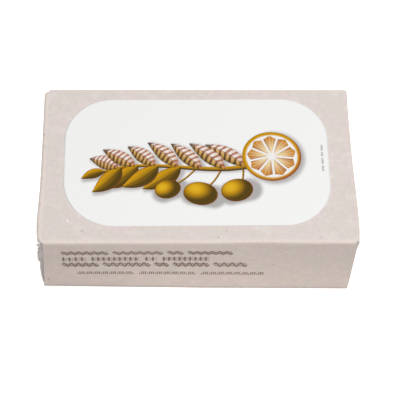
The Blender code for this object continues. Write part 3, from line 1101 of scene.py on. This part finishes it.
class Sprig:
    """The label's design: a leafy olive sprig with ripe olives, a citrus wheel and sprayed shadows."""

    def __init__(self):
        self.inks = {name: Ink(on_label) for name in PRINT_INKS}
        self.shadows = []

    def shadow(self, x, y, radius, softness=1.4 * MM, strength=0.6):
        self.shadows.append((x + SHADOW_SHIFT[0], y + SHADOW_SHIFT[1], radius, softness, strength))

    def leaf(self, name, base, heading, length, width, bend, layer, tone):
        rows = []
        spine = leaf_spine(base, heading, length, bend)
        for step, (x, y, turn) in enumerate(spine):
            share = step / (len(spine) - 1)
            half = leaf_half_width(share, width)
            row = []
            for i in range(11):
                across = i / 5 - 1
                side_x = x - across * half * math.sin(turn)
                row.append((side_x, y + across * half * math.cos(turn), share, across))
            rows.append(row)
            self.shadow(x, y, 0.75 * half)
        self.inks[name].add_grid(rows, layer, tone)

    def draw_stem(self):
        places = [stem_place(i / 80) for i in range(81)]
        self.inks["stems"].add_ribbon(places, lambda share: (2.1 - 1.1 * share) * MM, 2)
        for x, y in places:
            self.shadow(x, y, 0.3 * MM, 1.4 * MM, 0.5)

    def draw_leaves(self):
        for number, share in enumerate(UPPER_LEAVES):
            heading = stem_heading(share) - math.radians(46 - 14 * share)
            length = (17.5 - 6.5 * share + 1.2 * math.sin(3 * number)) * MM
            bend = math.radians(26 - 8 * (number % 3))
            shape = (heading, length, 5.6 * MM, bend)
            self.leaf("banded_leaves", stem_place(share), *shape, 4 + number % 2, number / 7)
        for number, share in enumerate(LOWER_LEAVES):
            heading = stem_heading(share) + math.radians(44 - 12 * share)
            length = (18.5 - 5 * share) * MM
            bend = -math.radians(22 + 6 * (number % 2))
            shape = (heading, length, 6.6 * MM, bend)
            self.leaf("golden_leaves", stem_place(share), *shape, 3 + number % 2, number / 5)
        self.leaf("golden_leaves", stem_place(0.985), stem_heading(0.98), 9 * MM, 3.9 * MM, 0.5, 5, 0.5)

    def draw_olives(self):
        for number, (x, y, along, across, turn, share) in enumerate(OLIVES):
            start = stem_place(share)
            bow = ((start[0] + x) / 2 + 1.2 * MM, (start[1] + y) / 2)
            stalk = [bezier(i / 12, start, bow, bow, (x, y)) for i in range(13)]
            self.inks["stems"].add_ribbon(stalk, lambda share: 0.7 * MM, 1)
            turn = math.radians(turn)
            self.inks["olives"].add_disc((x, y), (along, across), turn, 5 + number % 2, number / 4)
            for step in range(-3, 4):
                reach = step / 5 * along
                spot = (x + reach * math.cos(turn), y + reach * math.sin(turn))
                self.shadow(*spot, across * 0.8, 1.9 * MM, 0.7)

    def draw_wheel(self):
        """A cut citrus wheel: rind, pith and wedges of flesh with rounded corners."""
        radii = (WHEEL_RADIUS, WHEEL_RADIUS * WHEEL_SQUASH)
        self.inks["citrus_rind"].add_disc(WHEEL_MIDDLE, radii, 0, 5, 1, 72, 10)
        self.shadow(*WHEEL_MIDDLE, WHEEL_RADIUS * 0.93, 2.2 * MM, 0.65)
        for wedge in range(WEDGES):
            middle = 2 * math.pi * (wedge + 0.35) / WEDGES
            spread = math.pi / WEDGES
            rows = []
            for step in range(13):
                share = step / 12
                radius = WHEEL_RADIUS * (WEDGE_START + WEDGE_REACH * share)
                rounding = min(1, 0.35 + 1.6 * (1 - abs(2 * share - 1)) ** 0.5)
                half = max(spread - WEDGE_GAP / radius, 0.05) * rounding
                row = []
                for i in range(9):
                    across = i / 4 - 1
                    angle = middle + across * half
                    edge = radius * (1 - 0.05 * across**2 * share)
                    x = WHEEL_MIDDLE[0] + edge * math.cos(angle)
                    y = WHEEL_MIDDLE[1] + WHEEL_SQUASH * edge * math.sin(angle)
                    row.append((x, y, share, across))
                rows.append(row)
            self.inks["citrus_flesh"].add_grid(rows, 7, wedge / WEDGES)

    def build(self):
        self.draw_stem()
        self.draw_leaves()
        self.draw_olives()
        self.draw_wheel()
        return [self.inks[name].build("print_" + name, finish()) for name, finish in PRINT_INKS.items()]


def row_ink(name, dark, worn):
    """Plain ink, slightly broken by the grain of what it is printed on."""
    finish = Finish(name, 0.7)
    broken = finish.ramp(finish.grain(finish.place(), 0.25, 4, 0.7), 0.42, 0.75)
    finish.colour = dark
    finish.coat(broken * 0.35, worn)
    return finish.material


def wave_run(ink, start, end, low, high):
    """A run of scrolling wave with a dot in each hollow."""
    middle, reach = (low + high) / 2, (high - low - WAVE_STROKE) / 2
    waves = max(1, round((end - start) / WAVE_LENGTH))
    steps = waves * 14
    path = []
    for i in range(steps + 1):
        share = i / steps
        y = middle + reach * math.sin(2 * math.pi * waves * share)
        path.append((start + (end - start) * share, y))
    ink.add_ribbon(path, lambda share: WAVE_STROKE, 1)
    for half_wave in range(2 * waves):
        x = start + (end - start) * (half_wave + 0.5) / (2 * waves)
        y = middle + (-0.45 if half_wave % 2 == 0 else 0.45) * reach
        ink.add_disc((x, y), (0.38 * MM, 0.46 * MM), 0, 1, 0.5, 8, 1)


def lozenge_run(ink, start, end, low, high):
    """A run of slim upright lozenges with a pair of dots between them."""
    middle, reach = (low + high) / 2, (high - low) / 2
    count = max(1, round((end - start) / LOZENGE_PITCH))
    pitch = (end - start) / count
    for number in range(count):
        x = start + pitch * (number + 0.3)
        spine = [(x, middle - reach), (x, middle), (x, middle + reach)]
        ink.add_ribbon(spine, lambda share: 0.22 * reach + 0.5 * reach * (1 - abs(2 * share - 1)), 1)
        for side in (-1, 1):
            dot = (x + pitch / 2, middle + side * 0.5 * reach)
            ink.add_disc(dot, (0.33 * MM, 0.33 * MM), 0, 1, 0.5, 8, 1)


def dash_run(ink, start, end, low, high):
    """A run of tiny upright dashes."""
    count = max(1, round((end - start) / DASH_PITCH))
    for number in range(count):
        x = start + (end - start) * (number + 0.5) / count
        top = high if number % 4 else (low + high) / 2
        ink.add_ribbon([(x, low), (x, (low + top) / 2), (x, top)], lambda share: DASH_STROKE, 1)


# Rows of ornament on the long sides: kind, left end, right end, low, high, and where the runs break
ORNAMENT_ROWS = (
    (wave_run, -47.0 * MM, 11.7 * MM, 24.2 * MM, 27.3 * MM, (0.3, 0.62, 0.74)),
    (lozenge_run, -47.2 * MM, 3.9 * MM, 19.5 * MM, 22.8 * MM, (0.2, 0.56, 0.68)),
    (wave_run, -47.1 * MM, 17.0 * MM, 15.2 * MM, 18.7 * MM, (0.22, 0.5, 0.6, 0.82)),
    (dash_run, -42.4 * MM, 23.3 * MM, 9.7 * MM, 11.65 * MM, (0.33, 0.66)),
)


def make_rows(side, name, finish):
    """The rows of ornament on a long side panel."""
    ink = Ink(on_side(side))
    for run, left, right, low, high, breaks in ORNAMENT_ROWS:
        ends = [left] + [left + (right - left) * share for share in breaks] + [right + RUN_GAP]
        for start, end in zip(ends, ends[1:]):
            run(ink, start, end - RUN_GAP, low, high)
    return ink.build(name, finish)


def make_tally():
    """A tiny upright line of dots beside the design."""
    ink = Ink(on_label)
    for number in range(TALLY_DOTS):
        y = TALLY_TOP - number * TALLY_PITCH
        if number not in TALLY_BREAKS:
            ink.add_disc((TALLY_PLACE, y), (0.44 * MM, 0.24 * MM), 0, 1, 0.5, 8, 1)
    return ink.build("print_tally", row_ink("ink_tally", INK_FAINT, INK_FAINTER))


def on_top(x, y, lift):
    """The surface of the top panel and its long folds."""
    over = max(0, abs(y) - (DEPTH / 2 - FOLD_RADIUS))
    drop = FOLD_RADIUS - math.sqrt(max(0, FOLD_RADIUS**2 - over**2))
    return Vector((x, y + dent(x, y, HEIGHT), HEIGHT + crown(x, y) - drop + lift))


def fleck_ink():
    """Scuffs and specks on the board: dark where tone is 0 and pale where it is 1."""
    finish = Finish("board_scuffs", 0.9)
    tone = finish.attribute("tone") + (finish.grain(finish.place(), 0.3, 3) - 0.5) * 0.7
    finish.colour = SCUFF_DARK
    finish.coat(finish.ramp(tone, 0, 1), SCUFF_PALE)
    return finish.material


def make_flecks():
    """The scuffs and specks that stand out on the top and front panels."""
    finish = fleck_ink()
    top, front = Ink(on_top), Ink(on_side(-1))
    for ink, flecks in ((top, TOP_FLECKS), (front, FRONT_FLECKS)):
        for x, y, along, across, tone in flecks:
            ink.add_disc((x * MM, y * MM), (along * MM, across * MM), x, 1, tone, 10, 2)
    return [top.build("top_flecks", finish), front.build("front_flecks", finish)]


def make_stage():
    """A pale floor whose glow is painted light, and soft light from above."""
    finish = Finish("glowing_floor", 0.9)
    place = finish.node("SeparateXYZ", None, {0: finish.place()})
    across = finish.node("SeparateXYZ", None, {0: finish.place()}, 1)
    beside = finish.math_value("MAXIMUM", abs(place) - TUBE_END / MM, 0)
    before = finish.math_value("MAXIMUM", abs(across) - DEPTH / 2 / MM, 0)
    # Painted light: the glow is strongest close to the carton, lighting it from below, and dimmer to its
    # left and right
    near = finish.ramp((beside * beside + before * before) ** 0.5, 5, GLOW_REACH / MM, 1, 0)
    dimmer = finish.ramp(place, 0, -70) * 0.8 + finish.ramp(place, 10, 80) * 0.4
    glow = finish.mix(near * (1 - dimmer), FAR_GLOW, NEAR_GLOW)
    # Painted light: full glow where the carton's shadow falls, beside its left end
    shaded = finish.ramp(place, -52, -56) * finish.ramp(place, -95, -60) * finish.ramp(across, -36, -28)
    finish.set("Base Color", FLOOR_COLOUR)
    finish.set("Emission Color", finish.mix(shaded, glow, SHADE_GLOW))
    finish.set("Emission Strength", 1.0)
    signs = ((-1, -1), (1, -1), (1, 1), (-1, 1))
    corners = [(x * FLOOR_REACH, y * FLOOR_REACH, -FLOOR_DROP) for x, y in signs]
    floor = object_from("floor", corners, [(0, 1, 2, 3)], [finish.material])

    world = bpy.data.worlds.new("soft_room")
    world.use_nodes = True
    background = world.node_tree.nodes["Background"]
    background.inputs["Color"].default_value = (1, 1, 1, 1)
    background.inputs["Strength"].default_value = ROOM_LIGHT
    bpy.context.scene.world = world

    light = bpy.data.lights.new("overhead_softbox", "AREA")
    light.shape = "SQUARE"
    light.size = SOFTBOX_SIZE
    light.energy = OVERHEAD_WATTS
    softbox = add_object("overhead_softbox", light)
    softbox.location = SOFTBOX_PLACE
    softbox.rotation_euler = (-SOFTBOX_PLACE).to_track_quat("-Z", "Y").to_euler()


def make_camera():
    data = bpy.data.cameras.new("camera")
    data.sensor_width = 36
    data.lens = CAMERA_LENS
    data.clip_start = 0.01
    camera = add_object("camera", data)
    turn = Matrix.Rotation(math.radians(CAMERA_YAW), 4, "Z")
    tilt = Matrix.Rotation(math.radians(90 - CAMERA_PITCH), 4, "X")
    roll = Matrix.Rotation(math.radians(CAMERA_ROLL), 4, "Z")
    rotation = turn @ tilt @ roll
    offset = rotation @ Vector((CAMERA_SIDE, CAMERA_RISE, CAMERA_DISTANCE))
    camera.matrix_world = Matrix.Translation(CAMERA_AIM + offset) @ rotation
    bpy.context.scene.camera = camera


def dress():
    """Builds every piece, attaches each to the root body and hides the carton and label solids that the
    pieces take the place of.
    """
    board = board_finish()
    cut = cut_edge_finish()
    pieces = [
        make_tube(board),
        make_flap(LEFT, "left_flap", board, cut),
        make_flap(RIGHT, "right_flap", board, cut),
        # The shreds' paler board is painted light
        make_shreds(cut_edge_finish("lit_torn_board", LIT_SHRED_DARK, LIT_SHRED_PALE)),
        make_inner_flap(LEFT, "left_inner_flap", board, cut),
        make_inner_flap(RIGHT, "right_inner_flap", board, cut),
    ]
    for piece in pieces:
        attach(piece, "root")
        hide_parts("carton")
    rows = row_ink("ink_rows", INK_BROWN, INK_WORN)
    for piece in (make_rows(-1, "front_rows", rows), make_rows(1, "back_rows", rows), *make_flecks()):
        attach(piece, "root")
    sprig = Sprig()
    for piece in sprig.build() + [make_tally()]:
        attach(piece, "root")
    label = make_label(sprig.shadows)
    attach(label, "root")
    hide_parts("label")


dress()
make_stage()
make_camera()
bpy.context.scene.view_settings.view_transform = "Standard"
